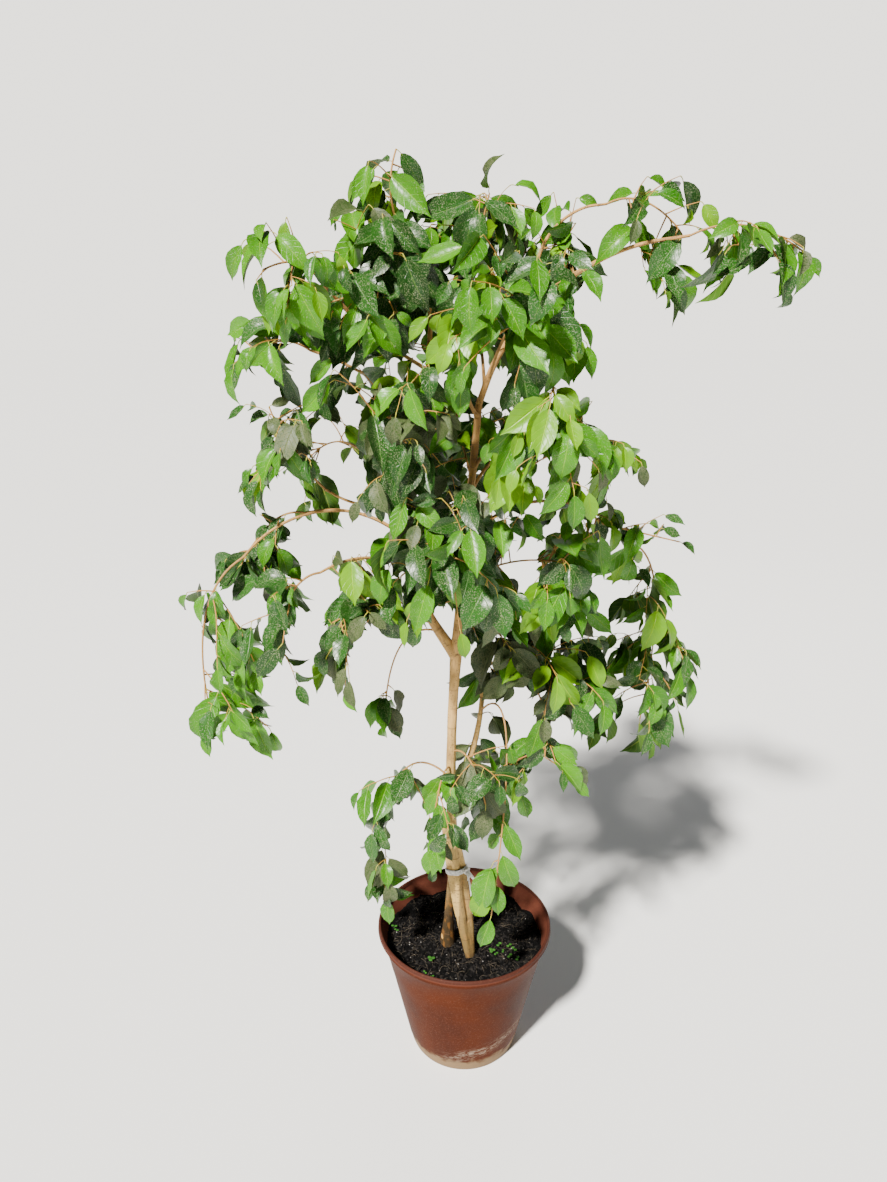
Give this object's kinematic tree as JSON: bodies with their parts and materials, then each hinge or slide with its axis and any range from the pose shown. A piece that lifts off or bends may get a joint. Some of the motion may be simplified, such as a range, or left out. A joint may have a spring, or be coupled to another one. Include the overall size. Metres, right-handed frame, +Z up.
{
  "type": "potted weeping fig",
  "caption": "Potted weeping fig tree: a bundled pale trunk, arching boughs and hanging glossy leaves, in a round tapered plastic pot of soil that stands on the floor.",
  "frame": {"origin": "centre of the pot's flat underside, where it meets the floor", "axes": "+Z up from the floor; +X towards the side of the long arching limb, which is the viewer's right; +Y away from the viewer"},
  "size_m": [0.9494, 0.659, 1.6453],
  "materials": {
    "pot_plastic": "terracotta-coloured matt plastic, sun-faded, with a beige worn foot and pale scuffs",
    "soil": "damp black potting mix with bark chips and fibres",
    "tie_fabric": "pale grey soft plant tie, weathered",
    "bark": "pale tan smooth bark with fine furrows, lenticels and leaf scars",
    "leaf_young": "bright yellow-green young leaves, glossy",
    "leaf_fresh": "mid-green leaves, glossy",
    "leaf_dark": "dark green mature leaves, glossy",
    "leaf_dusty": "mature leaves under a film of grey dust, satin"
  },
  "bodies": {
    "root": {"pot": "pot_plastic", "soil": "soil", "tie": "tie_fabric", "trunk": "bark", "left_stem": "bark", "right_stem": "bark", "long_limb": "bark", "high_bough": "bark", "arched_bough": "bark", "top_right_bough": "bark", "upper_right_bough": "bark", "top_left_bough": "bark", "left_tip_bough": "bark", "shoulder_bough": "bark", "left_mid_bough": "bark", "left_far_bough": "bark", "left_outer_bough": "bark", "left_near_bough": "bark", "right_mid_bough": "bark", "right_front_bough": "bark", "right_low_bough": "bark", "right_drop_bough": "bark", "low_right_bough": "bark", "back_left_bough": "bark", "back_right_bough": "bark", "back_top_bough": "bark", "top_sprig": "leaf_young", "top_centre": "leaf_fresh", "top_right": "leaf_fresh", "upper_left_tip": "leaf_young", "upper_left": "leaf_dark", "left_shoulder": "leaf_dark", "upper_right": "leaf_fresh", "long_limb_hang": "leaf_fresh", "long_limb_tip": "leaf_dark", "left_mid": "leaf_dark", "centre_mid": "leaf_dusty", "right_mid": "leaf_young", "right_mid_tip": "leaf_fresh", "left_droop_upper": "leaf_dark", "left_droop_tip": "leaf_fresh", "left_droop_near": "leaf_dark", "centre_left_low": "leaf_dusty", "centre_low": "leaf_dark", "right_low_near": "leaf_fresh", "right_low_tip": "leaf_fresh", "right_low_outer": "leaf_fresh", "right_low_inner": "leaf_dusty", "low_right": "leaf_fresh", "low_centre": "leaf_dark", "low_front": "leaf_dark", "low_left": "leaf_dark", "pot_sprig": "leaf_young", "wisp": "leaf_dark", "back_low": "leaf_dark", "back_mid": "leaf_dark", "back_left": "leaf_fresh", "back_right": "leaf_fresh", "back_top": "leaf_fresh"}
  },
  "joints": []
}
